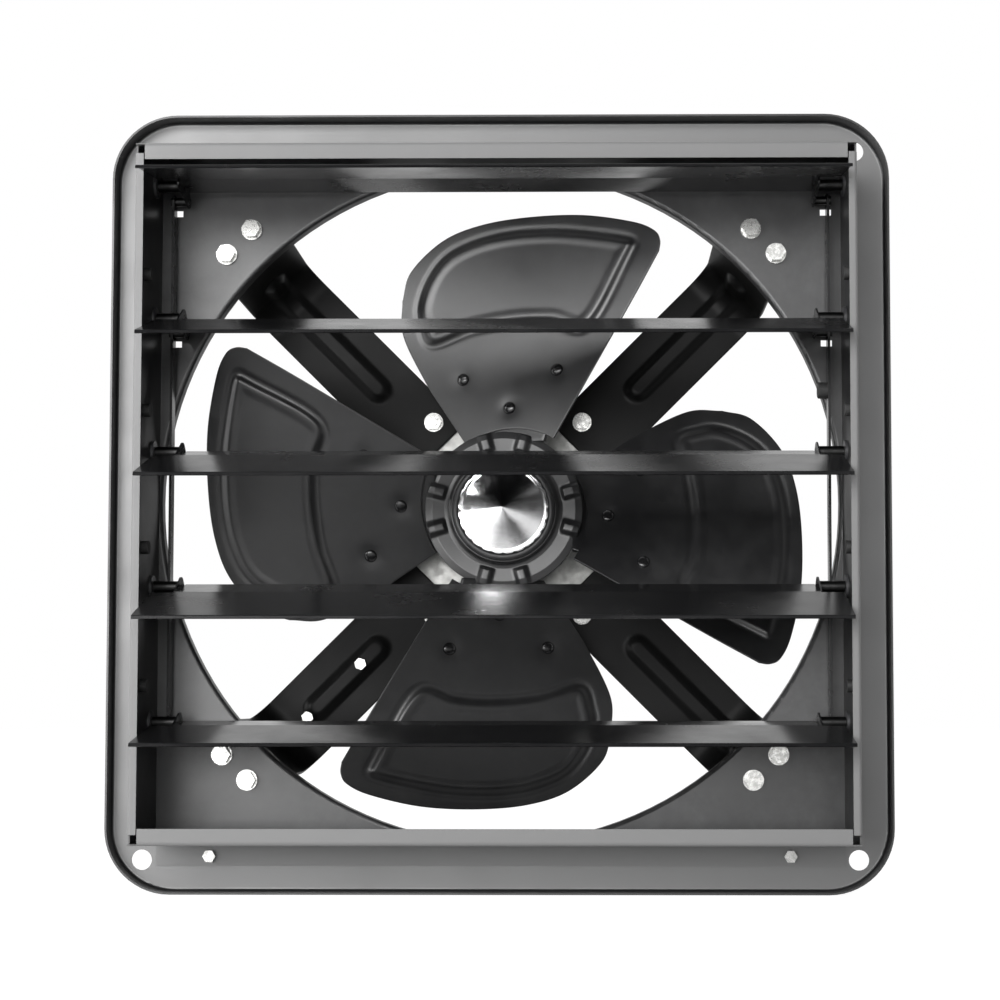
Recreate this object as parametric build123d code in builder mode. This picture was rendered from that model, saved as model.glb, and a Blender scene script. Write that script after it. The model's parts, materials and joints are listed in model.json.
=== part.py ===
from build123d import *
import os
from math import cos, hypot, radians, sin, sqrt, tan

# A wall fan of 400 mm with a five-blade shutter in front.
# X is to the right and Z up, as seen from the shutter side. Y runs back to the motor.
# The origin is at the centre of the orifice, on the front face of the mounting panel.
# All lengths are in millimetres.

os.makedirs("parts", exist_ok=True)

# The wheel's size drives the orifice, the panel, the box, the louvers and the arms
wheel_d = 400.0
wheel_r = wheel_d / 2

# Mounting panel
tip_gap = 10.0
orifice_d = wheel_d + 2 * tip_gap
panel_border = 30.0
panel_side = orifice_d + 2 * panel_border
panel_sheet = 1.2
panel_corner = 40.0
rim_depth = 12.0
rim_bend = 3.0
mouth_bend = 2.5
collar_depth = 9.0
mount_inset = 20.0
mount_pitch = panel_side - 2 * mount_inset
mount_hole_d = 12.5
peep_w, peep_h = 7.0, 4.0

# Shutter box
box_side_inset, box_end_inset = 27.5, 33.5
box_w = panel_side - 2 * box_side_inset
box_h = panel_side - 2 * box_end_inset
box_depth = 65.0
strip_t = 1.0
strip_bend = 1.0
end_lip = 10.0
side_lip = 5.0
lip_notch = 6.5
lip_gap = 0.6
box_foot = 17.0
box_foot_inset = 1.5
corner_tab = 12.0
corner_tab_w = 34.0
foot_screw_inset = 34.5
foot_screw_share = 0.65
rivet_head_r, rivet_head_t = 4.0, 1.0
rivet_tail = 0.5

# Louvers and their linkage
louver_count = 5
middle_louver = louver_count // 2
first_louver_drop, last_louver_rise = 13.0, 71.0
louver_pitch = (box_h - first_louver_drop - last_louver_rise) / (louver_count - 1)
louver_t = 0.8
pivot_depth = 18.0
blade_rear = 11.0
blade_kink = 20.0
closed_gap = 1.25
blade_front = louver_pitch - blade_rear - blade_kink - closed_gap
blade_lip = 2.0
blade_bend = 0.9
kink_angle = 7.0
lip_angle = 53.0
louver_tilts = (1.0, 12.0, 12.0, 12.0, 4.0)
blade_side_gap = 5.0
ear_inset = 18.5
ear_t = 1.0
ear_pivot_r = 6.0
ear_link_r = 4.0
ear_nose_r = 2.5
crank_r = 12.0
crank_angle = -35.0
pivot_pin_r = 2.5
pivot_sleeve_r = 3.5
pin_run = 0.08
sleeve_gap = 0.3
bushing_r = 5.0
bushing_flange_r = 7.0
bushing_flange_t = 1.5
pin_tip = 1.0
link_pin_r = 1.6
link_sleeve_r = 2.6
link_head_r = 2.8
link_head_t = 1.1
link_play = 0.25
bar_t = 1.5
bar_w = 8.0
bar_gap = 0.3
weight_r = 5.0
weight_l = 6.0
weight_edge = 0.6
stud_shank_r = 2.0
stud_head_r = 4.0
stud_head_t = 4.2
stud_depth = 42.0
stud_rise = 22.0

# Fan wheel
blade_sheet = 1.5
blade_mid_y = 46.0
pitch_tip = 18.0
pitch_root = 27.0
blade_camber = 7.0
root_camber_share = 0.3
emboss = 2.5
emboss_corner_share = 0.04
blade_count = 4
rivet_r = 3.2
rivet_rise = 1.8
hub_disc_r_share = 0.26
hub_disc_r = wheel_r * hub_disc_r_share
hub_disc_t = 9.0
hub_boss_r = 17.0
hub_rib_t = 3.0
hub_rib_count = 16
spider_t = 3.0
spider_reach_share, spider_w_share = 0.505, 0.42
cap_r = 29.0
cone_r = 26.0
cone_rise = 11.0
cap_t = 1.0
cap_notch = 2.4
cap_notch_count = 4
ring_r = 34.0
ring_t = 6.0
ring_edge = 1.2
nut_af = 16.0
nut_h = 8.0

# Motor
motor_r_share = 0.375
motor_r = wheel_r * motor_r_share
motor_wall = 3.0
motor_len = 56.0
shield_t = 9.0
shield_boss_r = 25.0
shield_boss_rise = 13.0
shield_edge = 1.0
boss_draft_angle = 5.0
rear_seat_depth = 3.0
shield_bolt_count = 4
fin_count = 28
fin_rise = 3.0
fin_t = 2.0
shaft_r = 7.5
shaft_nose_r = 6.0
bearing_r = 17.5
bearing_w = 11.0
bearing_run = 0.05
rotor_gap = 0.5
core_ring = 35.0
rotor_r = motor_r - core_ring
core_len = 36.0
winding_rise = 7.0
winding_edge = 2.0
winding_in_gap, winding_out_gap = 6.0, 13.0
winding_in, winding_out = rotor_r + winding_in_gap, motor_r - winding_out_gap
stud_x_share, stud_z_share = 0.25, 0.325
lug_r = 11.0
stud_tail = 1.5

# Support arms
arm_t = 2.5
arm_w = 50.0
arm_depth = 96.0
arm_leg_gap = 4.5
arm_bolt_inset = 16.5
arm_foot_end = 16.0
arm_end = 15.3
arm_foot_bend = 5.0
arm_back_bend = 18.0
arm_rib_w = 22.0
arm_rib_rise = 4.0
arm_rib_in_gap, arm_rib_out_gap = 22.7, 34.5
arm_bolt_gap = 22.0
rib_draft_angle = 30.0

# Fasteners
m6_r = 3.0
m6_af = 10.0
m6_head_h = 4.0
m6_flange_r = 6.4
m6_flange_t = 1.4
m6_tail = 3.0
m4_r = 2.0
m4_af = 7.0
m4_head_h = 2.8
hole_play = 0.3

# Capacitor and terminal box
cap_body_l, cap_body_w, cap_body_h = 30.0, 42.0, 26.0
cap_corner = 4.0
clamp_t = 1.2
clamp_hole_gap = 50.5
clamp_rib_gap = 9.0
clamp_w = 26.0
clamp_ear = 14.0
term_w, term_l, term_h = 56.0, 40.0, 22.0
term_wall = 2.5
term_lid_t = 3.0
term_corner = 5.0
gland_r, gland_l = 8.0, 14.0
gland_bore_r = 3.5
gland_draft_angle = 8.0
overrun = 5.0


def front_plane(y):
    """Plane square to the shaft at depth y. Local x is X, local y is Z, and its normal points forward."""
    return Plane.XZ.offset(-y)


def finish(builder, name):
    builder.part.label = name
    export_step(builder.part, "parts/" + name + ".step")


# Places that follow from the sizes above
half_w = box_w / 2
half_h = box_h / 2
wall_in = half_w - strip_t
tab_mid_x = wall_in - corner_tab / 2
pivots_z = [half_h - first_louver_drop - i * louver_pitch for i in range(louver_count)]
ear_x = wall_in - ear_inset
blade_half = wall_in - blade_side_gap
crank_y = crank_r * cos(radians(crank_angle))
crank_z = crank_r * sin(radians(crank_angle))
bushing_face = wall_in - bushing_flange_t
bar_x = (ear_x + wall_in) / 2
stud_zs = [z + stud_rise for z in pivots_z[1:]]
foot_hole_x = half_w - foot_screw_inset
foot_hole_z = half_h + box_foot * foot_screw_share
foot_hole_places = [(x * foot_hole_x, z * foot_hole_z) for x in (-1, 1) for z in (-1, 1)]
stud_x, stud_z = wheel_r * stud_x_share, wheel_r * stud_z_share
motor_hole_along = (stud_x + stud_z) / sqrt(2)
motor_hole_aside = (stud_z - stud_x) / sqrt(2)
arm_inner_r = motor_hole_along - arm_end
arm_leg_r = orifice_d / 2 + arm_leg_gap
arm_bolt_r = arm_leg_r + arm_bolt_inset
arm_foot_r = arm_bolt_r + arm_foot_end
arm_rib_in, arm_rib_out = motor_hole_along + arm_rib_in_gap, arm_leg_r - arm_rib_out_gap
arm_angles = (45, 135, 225, 315)
clamp_angle = arm_angles[2]
clamp_outer_hole_r = arm_rib_out + clamp_rib_gap
clamp_inner_hole_r = clamp_outer_hole_r - clamp_hole_gap


def arm_side(angle):
    """Which way a support arm's motor hole lies from its middle line, 1 or -1."""
    return 1 if angle in (arm_angles[0], arm_angles[2]) else -1


def bolt_places(angle):
    """The two bolts of an arm's foot, turned from the X axis to the arm's angle."""
    return [Vector(arm_bolt_r, side * arm_bolt_gap / 2).rotate(Axis.Z, angle) for side in (-1, 1)]


# Mounting panel: a pressed tray with a rolled orifice, corner holes and holes for what it carries
with BuildPart() as mounting_panel:
    with BuildSketch(front_plane(panel_sheet)):
        RectangleRounded(panel_side, panel_side, panel_corner)
    extrude(amount=panel_sheet + rim_depth)
    fillet(mounting_panel.faces().sort_by(Axis.Y)[-1].edges(), rim_bend)
    with BuildSketch(front_plane(-rim_depth)):
        inner_side = panel_side - 2 * panel_sheet
        RectangleRounded(inner_side, inner_side, panel_corner - panel_sheet)
    extrude(amount=-rim_depth, mode=Mode.SUBTRACT)
    fillet(mounting_panel.faces().filter_by(Axis.Y).group_by(Axis.Y)[-2].edges(), rim_bend - panel_sheet)
    with BuildSketch(front_plane(0)):
        Circle(orifice_d / 2 + mouth_bend)
    extrude(amount=-panel_sheet, mode=Mode.SUBTRACT)
    bore_r = orifice_d / 2
    with BuildSketch(Plane.XY):
        with BuildLine():
            RadiusArc((bore_r + mouth_bend, 0), (bore_r, mouth_bend), mouth_bend)
            Line((bore_r, mouth_bend), (bore_r, collar_depth))
            Line((bore_r, collar_depth), (bore_r + panel_sheet, collar_depth))
            Line((bore_r + panel_sheet, collar_depth), (bore_r + panel_sheet, mouth_bend))
            RadiusArc((bore_r + panel_sheet, mouth_bend), (bore_r + mouth_bend, panel_sheet),
                      -(mouth_bend - panel_sheet))
            Line((bore_r + mouth_bend, panel_sheet), (bore_r + mouth_bend, 0))
        make_face()
    revolve(axis=Axis.Y)
    with BuildSketch(front_plane(0)):
        with GridLocations(mount_pitch, mount_pitch, 2, 2):
            Circle(mount_hole_d / 2)
        with Locations(*foot_hole_places):
            Circle(m4_r + hole_play)
        for angle in arm_angles:
            with Locations(*bolt_places(angle)):
                Circle(m6_r + hole_play)
        for z in pivots_z[:2]:
            with Locations((-bar_x, z - crank_r), (bar_x, z - crank_r)):
                Rectangle(peep_w, peep_h)
    extrude(amount=-panel_sheet, mode=Mode.SUBTRACT)
finish(mounting_panel, "mounting_panel")

# Shutter box, top strip: foot against the panel, web, and a lip turned down at the front
with BuildPart() as frame_top:
    with BuildSketch(Plane.YZ.offset(-half_w)):
        with BuildLine():
            FilletPolyline(
                (0, half_h + box_foot),
                (0, half_h - strip_t),
                (strip_t - box_depth, half_h - strip_t),
                (strip_t - box_depth, half_h - end_lip),
                radius=strip_bend + strip_t / 2,
            )
            offset(amount=strip_t, side=Side.RIGHT)
        make_face()
    extrude(amount=box_w)
    with BuildSketch(front_plane(-box_depth)):
        for side in (-1, 1):
            with Locations((side * half_w, half_h - end_lip / 2 - strip_t)):
                Rectangle(2 * (side_lip + lip_gap), end_lip)
    extrude(amount=-2 * strip_t - strip_bend, mode=Mode.SUBTRACT)
    with BuildSketch(front_plane(-strip_t)):
        for side in (-1, 1):
            with Locations((side * half_w, half_h + box_foot / 2 + strip_t)):
                Rectangle(2 * box_foot_inset, box_foot)
    extrude(amount=-strip_t, mode=Mode.SUBTRACT)
    with BuildSketch(front_plane(-strip_t)):
        with Locations(*[place for place in foot_hole_places if place[1] > 0]):
            Circle(m4_r + hole_play)
    extrude(amount=-strip_t, mode=Mode.SUBTRACT)
    with BuildSketch(Plane.XY.offset(half_h)):
        for side in (-1, 1):
            with Locations((side * tab_mid_x, -box_depth / 2)):
                with GridLocations(0, corner_tab_w / 2, 1, 2):
                    Circle(m4_r)
    extrude(amount=-strip_t, mode=Mode.SUBTRACT)
finish(frame_top, "frame_top")

with BuildPart() as frame_bottom:
    mirror(frame_top.part, about=Plane.XY)
finish(frame_bottom, "frame_bottom")

# Shutter box, right-hand strip: web with bushing holes, front lip, and tabs riveted to the end strips
with BuildPart() as frame_right:
    web_half = half_h - strip_t
    with BuildSketch(Plane.XY.offset(-web_half)):
        with BuildLine():
            FilletPolyline(
                (wall_in, 0),
                (wall_in, strip_t - box_depth),
                (half_w - side_lip, strip_t - box_depth),
                radius=strip_bend,
            )
            offset(amount=strip_t, side=Side.LEFT)
        make_face()
    extrude(amount=2 * web_half)
    with BuildSketch(front_plane(-box_depth)):
        for end in (-1, 1):
            with Locations((half_w - side_lip / 2, end * half_h)):
                Rectangle(side_lip, 2 * lip_notch)
    extrude(amount=-2 * strip_t - strip_bend, mode=Mode.SUBTRACT)
    for end in (-1, 1):
        with BuildSketch(Plane.XY.offset(end * web_half)):
            with Locations((tab_mid_x, -box_depth / 2)):
                Rectangle(corner_tab, corner_tab_w)
                with GridLocations(0, corner_tab_w / 2, 1, 2):
                    Circle(m4_r, mode=Mode.SUBTRACT)
        extrude(amount=-end * strip_t)
    with BuildSketch(Plane.YZ.offset(wall_in)):
        with Locations(*[(-pivot_depth, z) for z in pivots_z]):
            Circle(bushing_r)
        with Locations(*[(-stud_depth, z) for z in stud_zs]):
            Circle(stud_shank_r)
    extrude(amount=strip_t, mode=Mode.SUBTRACT)
finish(frame_right, "frame_right")

with BuildPart() as frame_left:
    mirror(frame_right.part, about=Plane.YZ)
finish(frame_left, "frame_left")

# Rivets that hold the tabs to the end strips
with BuildPart() as corner_rivets:
    for end in (-1, 1):
        for radius, top, length in ((rivet_head_r, rivet_head_t, rivet_head_t), (m4_r, 0, 2 * strip_t + rivet_tail)):
            with BuildSketch(Plane.XY.offset(end * (half_h + top))):
                with Locations((0, -box_depth / 2)):
                    with GridLocations(2 * tab_mid_x, corner_tab_w / 2, 2, 2):
                        Circle(radius)
            extrude(amount=-end * length)
finish(corner_rivets, "corner_rivets")

# Hex screws through the feet into the panel
with BuildPart() as frame_screws:
    with BuildSketch(front_plane(-strip_t)):
        with Locations(*foot_hole_places):
            RegularPolygon(m4_af / 2, 6, major_radius=False)
    extrude(amount=m4_head_h)
    with BuildSketch(front_plane(-strip_t)):
        with Locations(*foot_hole_places):
            Circle(m4_r)
    extrude(amount=-(strip_t + panel_sheet + m4_head_h))
finish(frame_screws, "frame_screws")

# Nylon bushings in the side walls, flanged on the inside
with BuildPart() as pivot_bushings:
    for side in (-1, 1):
        for z in pivots_z:
            with BuildSketch(Plane.XY.offset(z)):
                with BuildLine():
                    Polyline(
                        (side * bushing_face, -pivot_depth + pivot_pin_r + pin_run),
                        (side * bushing_face, -pivot_depth + bushing_flange_r),
                        (side * wall_in, -pivot_depth + bushing_flange_r),
                        (side * wall_in, -pivot_depth + bushing_r),
                        (side * (half_w + pin_tip), -pivot_depth + bushing_r),
                        (side * (half_w + pin_tip), -pivot_depth + pivot_pin_r + pin_run),
                        close=True,
                    )
                make_face()
            revolve(axis=Axis((0, -pivot_depth, z), (1, 0, 0)))
finish(pivot_bushings, "pivot_bushings")

# Round rubber studs on the side walls, between the louvers
with BuildPart() as side_studs:
    for side in (-1, 1):
        for z in stud_zs:
            with BuildSketch(Plane.YZ.offset(side * wall_in)):
                with Locations((-stud_depth, z)):
                    Circle(stud_head_r)
            extrude(amount=-side * stud_head_t)
            with BuildSketch(Plane.YZ.offset(side * wall_in)):
                with Locations((-stud_depth, z)):
                    Circle(stud_shank_r)
            extrude(amount=side * (strip_t + pin_tip))
finish(side_studs, "side_studs")


def turned(y, z, angle):
    """A point of a louver's section after a turn about its pivot, nose down for a positive angle."""
    a = radians(angle)
    return (-pivot_depth + y * cos(a) - z * sin(a), y * sin(a) + z * cos(a))


kink = (-blade_kink, 0)
crease = (kink[0] - blade_front * cos(radians(kink_angle)), -blade_front * sin(radians(kink_angle)))
lip_tip = (crease[0] - blade_lip * cos(radians(kink_angle + lip_angle)),
           crease[1] - blade_lip * sin(radians(kink_angle + lip_angle)))


def make_louver(pivot_z, tilt):
    """A folded blade with a narrower rear part, and an ear at each end of that part."""
    def placed(y, z):
        y_turned, z_turned = turned(y, z, tilt)
        return (y_turned, pivot_z + z_turned)

    path = [placed(blade_rear, 0), placed(*kink), placed(*crease), placed(*lip_tip)]
    wide_from = 2 * louver_t
    front_start = placed(-blade_kink - wide_from * cos(radians(kink_angle)), -wide_from * sin(radians(kink_angle)))
    with BuildPart() as louver:
        with BuildSketch(Plane.YZ.offset(-ear_x)):
            with BuildLine():
                FilletPolyline(*path, radius=blade_bend)
                offset(amount=louver_t, side=Side.LEFT)
            make_face()
        extrude(amount=2 * ear_x)
        with BuildSketch(Plane.YZ.offset(-blade_half)):
            with BuildLine():
                FilletPolyline(front_start, path[2], path[3], radius=blade_bend)
                offset(amount=louver_t, side=Side.LEFT)
            make_face()
        extrude(amount=2 * blade_half)
        for side in (-1, 1):
            with BuildSketch(Plane.YZ.offset(side * ear_x)):
                with Locations((-pivot_depth, pivot_z)):
                    Circle(ear_pivot_r)
                with Locations((-pivot_depth + crank_y, pivot_z + crank_z)):
                    Circle(ear_link_r)
                with Locations(placed(-blade_kink + ear_nose_r, -ear_nose_r)):
                    Circle(ear_nose_r)
                make_hull()
                with Locations((-pivot_depth, pivot_z)):
                    Circle(pivot_pin_r, mode=Mode.SUBTRACT)
                with Locations((-pivot_depth + crank_y, pivot_z + crank_z)):
                    Circle(link_pin_r, mode=Mode.SUBTRACT)
            extrude(amount=side * ear_t)
    return louver


def make_pins(pivot_z):
    """Two stepped pivot pins and two headed link pins of one louver."""
    sleeve_end = bushing_face - sleeve_gap
    link_shoulder = bar_x - bar_t / 2 - bar_gap
    link_head = bar_x + bar_t / 2 + bar_gap
    with BuildPart() as pins:
        for side in (-1, 1):
            with BuildSketch(Plane.YZ.offset(side * ear_x)):
                with Locations((-pivot_depth, pivot_z)):
                    Circle(pivot_pin_r)
            extrude(amount=side * (half_w + 2 * pin_tip - ear_x))
            with BuildSketch(Plane.YZ.offset(side * (ear_x + ear_t))):
                with Locations((-pivot_depth, pivot_z)):
                    Circle(pivot_sleeve_r)
            extrude(amount=side * (sleeve_end - ear_x - ear_t))
            with BuildSketch(Plane.YZ.offset(side * ear_x)):
                with Locations((-pivot_depth + crank_y, pivot_z + crank_z)):
                    Circle(link_pin_r)
            extrude(amount=side * (link_head - ear_x))
            with BuildSketch(Plane.YZ.offset(side * (ear_x + ear_t))):
                with Locations((-pivot_depth + crank_y, pivot_z + crank_z)):
                    Circle(link_sleeve_r)
            extrude(amount=side * (link_shoulder - ear_x - ear_t))
            with BuildSketch(Plane.YZ.offset(side * link_head)):
                with Locations((-pivot_depth + crank_y, pivot_z + crank_z)):
                    Circle(link_head_r)
            extrude(amount=side * link_head_t)
    return pins


for index, (pivot_z, tilt) in enumerate(zip(pivots_z, louver_tilts), start=1):
    finish(make_louver(pivot_z, tilt), "louver_" + str(index))
    finish(make_pins(pivot_z), "louver_" + str(index) + "_pins")


def make_tie_bar(side):
    """A flat bar that hangs on the louvers' link pins. Only the middle hole is a close fit."""
    link_y = -pivot_depth + crank_y
    link_zs = [z + crank_z for z in pivots_z]
    with BuildPart() as bar:
        with BuildSketch(Plane.YZ.offset(side * bar_x - bar_t / 2)):
            with Locations((link_y, (link_zs[0] + link_zs[-1]) / 2)):
                SlotCenterToCenter(link_zs[0] - link_zs[-1], bar_w, rotation=90)
            for number, z in enumerate(link_zs):
                with Locations((link_y, z)):
                    Circle(link_pin_r + (pin_run if number == middle_louver else link_play), mode=Mode.SUBTRACT)
        extrude(amount=bar_t)
    return bar


finish(make_tie_bar(-1), "tie_bar_left")
finish(make_tie_bar(1), "tie_bar_right")

# Small weight on the right-hand tie bar, between the second and third louvers
with BuildPart() as link_weight:
    weight_z = (pivots_z[1] + pivots_z[2]) / 2 + crank_z + weight_r
    with BuildSketch(Plane.YZ.offset(bar_x - bar_t / 2)):
        with Locations((-pivot_depth + crank_y, weight_z)):
            Circle(weight_r)
    extrude(amount=-weight_l)
    chamfer(link_weight.faces().sort_by(Axis.X)[0].edges(), weight_edge)
finish(link_weight, "link_weight")

# Outline of the top blade, in shares of the wheel's radius, anticlockwise from the root
root_left_share = (-0.130, 0.225)
root_right_share = (0.160, 0.225)
straight_edge_shares = ((0.410, 0.655), (0.4925, 0.8025))
tip_corner_share = (0.478, 0.872)
swept_edge_shares = ((0.255, 0.950), (0.0, 0.958), (-0.210, 0.905), (-0.3325, 0.780),
                     (-0.350, 0.635), (-0.260, 0.425))
emboss_shares = ((0.415, 0.830), (0.275, 0.585), (0.030, 0.613), (-0.245, 0.565),
                 (-0.285, 0.705), (-0.190, 0.855), (0.030, 0.910), (0.290, 0.880))
rivet_shares = ((-0.140, 0.440), (0.170, 0.4475), (0.015, 0.335))


def on_wheel(share):
    return (share[0] * wheel_r, share[1] * wheel_r)


rivet_places = [on_wheel(share) for share in rivet_shares]


def blade_depth(x, radius):
    """Depth of the blade's front face at a place x across it, at a radius along it."""
    reach = (radius - hub_disc_r / 2) / (wheel_r - hub_disc_r / 2)
    pitch = pitch_root + (pitch_tip - pitch_root) * reach
    sag = blade_camber * (root_camber_share + reach * (1 - root_camber_share)) * (1 - (2 * x / wheel_r) ** 2)
    return blade_mid_y - x * tan(radians(pitch)) + sag


def blade_slab(front, back):
    """A twisted, cambered sheet between two depths measured from the blade's front face."""
    with BuildPart() as slab:
        for radius in (hub_disc_r / 2, (hub_disc_r / 2 + wheel_r) / 2, wheel_r + overrun):
            side = wheel_r / 2 + overrun
            with BuildSketch(Plane.XY.offset(radius)):
                with BuildLine():
                    ThreePointArc(
                        (-side, blade_depth(-side, radius) + front),
                        (0, blade_depth(0, radius) + front),
                        (side, blade_depth(side, radius) + front),
                    )
                    Line((side, blade_depth(side, radius) + front), (side, blade_depth(side, radius) + back))
                    ThreePointArc(
                        (side, blade_depth(side, radius) + back),
                        (0, blade_depth(0, radius) + back),
                        (-side, blade_depth(-side, radius) + back),
                    )
                    Line((-side, blade_depth(-side, radius) + back), (-side, blade_depth(-side, radius) + front))
                make_face()
        loft()
    return slab.part


sheet_slab = blade_slab(0, blade_sheet)
emboss_slab = blade_slab(-emboss, blade_sheet)
rivet_slab = blade_slab(-rivet_rise, blade_sheet + spider_t)
spider_slab = blade_slab(blade_sheet, blade_sheet + spider_t)
wheel_front = blade_mid_y - wheel_r / 2
wheel_depth = wheel_r

# Raised field of the blade, and the blade itself with its rivet holes
with BuildPart() as emboss_field:
    with BuildSketch(front_plane(wheel_front)):
        with BuildLine():
            FilletPolyline(*[on_wheel(share) for share in emboss_shares], close=True,
                           radius=wheel_r * emboss_corner_share)
        make_face()
    extrude(amount=-wheel_depth)
    add(emboss_slab, mode=Mode.INTERSECT)

with BuildPart() as top_blade:
    with BuildSketch(front_plane(wheel_front)):
        with BuildLine():
            RadiusArc(on_wheel(root_left_share), on_wheel(root_right_share), hub_disc_r)
            Polyline(on_wheel(root_right_share), *[on_wheel(share) for share in straight_edge_shares])
            Line(on_wheel(straight_edge_shares[-1]), on_wheel(tip_corner_share))
            Spline(on_wheel(tip_corner_share), *[on_wheel(share) for share in swept_edge_shares],
                   on_wheel(root_left_share))
        make_face()
    extrude(amount=-wheel_depth)
    add(sheet_slab, mode=Mode.INTERSECT)
    add(emboss_field.part)
    with BuildSketch(front_plane(wheel_front)):
        with Locations(*rivet_places):
            Circle(rivet_r)
    extrude(amount=-wheel_depth, mode=Mode.SUBTRACT)

for number in range(blade_count):
    with BuildPart() as blade:
        add(top_blade.part.rotate(Axis.Y, number * 360 / blade_count))
    finish(blade, "blade_" + str(number + 1))

with BuildPart() as top_rivets:
    with BuildSketch(front_plane(wheel_front)):
        with Locations(*rivet_places):
            Circle(rivet_r)
    extrude(amount=-wheel_depth)
    add(rivet_slab, mode=Mode.INTERSECT)

with BuildPart() as blade_rivets:
    for number in range(blade_count):
        add(top_rivets.part.rotate(Axis.Y, number * 360 / blade_count))
finish(blade_rivets, "blade_rivets")

# Hub: a pressed spider whose four arms carry the blades, on a boss with a ribbed disc
hub_front = blade_mid_y - hub_disc_t / 2
boss_back = arm_depth - 2 * shield_boss_rise
nose_y = hub_front - ring_t
spider_reach, spider_w = wheel_r * spider_reach_share, wheel_r * spider_w_share
with BuildPart() as spider_arm:
    with BuildSketch(front_plane(wheel_front)):
        with BuildLine():
            FilletPolyline(
                (-hub_disc_r / 2, 0),
                (-spider_w / 2, spider_reach),
                (spider_w / 2, spider_reach),
                (hub_disc_r / 2, 0),
                close=True, radius=hub_rib_t,
            )
        make_face()
        with Locations(*rivet_places):
            Circle(rivet_r, mode=Mode.SUBTRACT)
    extrude(amount=-wheel_depth)
    add(spider_slab, mode=Mode.INTERSECT)

with BuildPart() as hub_spider:
    with BuildSketch(front_plane(hub_front)):
        Circle(hub_disc_r - blade_sheet)
    extrude(amount=-hub_disc_t)
    with BuildSketch(front_plane(hub_front)):
        Circle(hub_boss_r)
    extrude(amount=-(boss_back - hub_front))
    for number in range(blade_count):
        add(spider_arm.part.rotate(Axis.Y, number * 360 / blade_count))
    with BuildSketch(front_plane(hub_front)):
        Circle(hub_disc_r - blade_sheet)
    extrude(amount=wheel_depth / 2, mode=Mode.SUBTRACT)
    with BuildSketch(front_plane(hub_front)):
        with PolarLocations((ring_r + hub_disc_r) / 2, hub_rib_count):
            Rectangle(hub_disc_r - ring_r - 2 * blade_sheet, hub_rib_t)
    extrude(amount=hub_rib_t)
    with BuildSketch(front_plane(hub_front - overrun)):
        Circle(shaft_nose_r)
    extrude(amount=-(boss_back - hub_front + 2 * overrun), mode=Mode.SUBTRACT)
finish(hub_spider, "hub_spider")

with BuildPart() as cap_ring:
    with BuildSketch(front_plane(hub_front)):
        Circle(ring_r)
        Circle(ring_r - ring_t, mode=Mode.SUBTRACT)
    extrude(amount=ring_t)
    chamfer(cap_ring.edges().filter_by(GeomType.CIRCLE).group_by(Axis.Y)[0], ring_edge)
finish(cap_ring, "cap_ring")

# Spinner cap: a thin cone with a notched rim
with BuildPart() as spinner_cap:
    with BuildSketch(Plane.XY):
        with BuildLine():
            Polyline(
                (0, nose_y - cap_t - cone_rise),
                (cone_r, nose_y - cap_t),
                (cap_r, nose_y - cap_t),
                (cap_r, nose_y),
                (cone_r - cap_t, nose_y),
                (0, nose_y - cone_rise),
                close=True,
            )
        make_face()
    revolve(axis=Axis.Y)
    with BuildSketch(front_plane(nose_y)):
        with PolarLocations(cap_r, cap_notch_count):
            Circle(cap_notch)
    extrude(amount=cap_t, mode=Mode.SUBTRACT)
finish(spinner_cap, "spinner_cap")

with BuildPart() as hub_nut:
    with BuildSketch(front_plane(hub_front)):
        RegularPolygon(nut_af / 2, 6, major_radius=False)
        Circle(shaft_nose_r, mode=Mode.SUBTRACT)
    extrude(amount=nut_h)
finish(hub_nut, "hub_nut")

# Motor, from the front shield back to the rear one
shield_front = arm_depth + arm_t
core_front = shield_front + shield_t + (motor_len - core_len) / 2
housing_back = shield_front + shield_t + motor_len
rear_face = housing_back + shield_t
stud_places = [(x * stud_x, z * stud_z) for x in (-1, 1) for z in (-1, 1)]
bearing_seat = shield_front - bearing_w / 2
rear_seat = housing_back + rear_seat_depth

with BuildPart() as motor_shaft:
    with BuildSketch(front_plane(hub_front - nut_h)):
        Circle(shaft_nose_r)
    extrude(amount=-(boss_back - hub_front + nut_h))
    with BuildSketch(front_plane(boss_back)):
        Circle(shaft_r)
    extrude(amount=-(rear_seat + bearing_w - boss_back))
finish(motor_shaft, "motor_shaft")

with BuildPart() as motor_shield_front:
    with BuildSketch(front_plane(shield_front)):
        Circle(motor_r)
        with Locations(*stud_places):
            Circle(lug_r)
    extrude(amount=-shield_t)
    with BuildSketch(front_plane(shield_front)):
        Circle(shield_boss_r)
    extrude(amount=shield_boss_rise, taper=boss_draft_angle)
    with BuildSketch(front_plane(shield_front - shield_boss_rise)):
        Circle(shaft_r + hole_play)
    extrude(amount=-(shield_boss_rise + shield_t), mode=Mode.SUBTRACT)
    with BuildSketch(front_plane(bearing_seat)):
        Circle(bearing_r)
    extrude(amount=-(shield_t + bearing_w), mode=Mode.SUBTRACT)
    fillet(motor_shield_front.edges().filter_by(GeomType.CIRCLE).group_by(Axis.Y)[0], shield_edge)
finish(motor_shield_front, "motor_shield_front")

with BuildPart() as motor_studs:
    with BuildSketch(front_plane(shield_front)):
        with Locations(*stud_places):
            Circle(m6_r)
    extrude(amount=arm_t + m6_head_h + m6_flange_t + stud_tail)
finish(motor_studs, "motor_studs")

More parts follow.
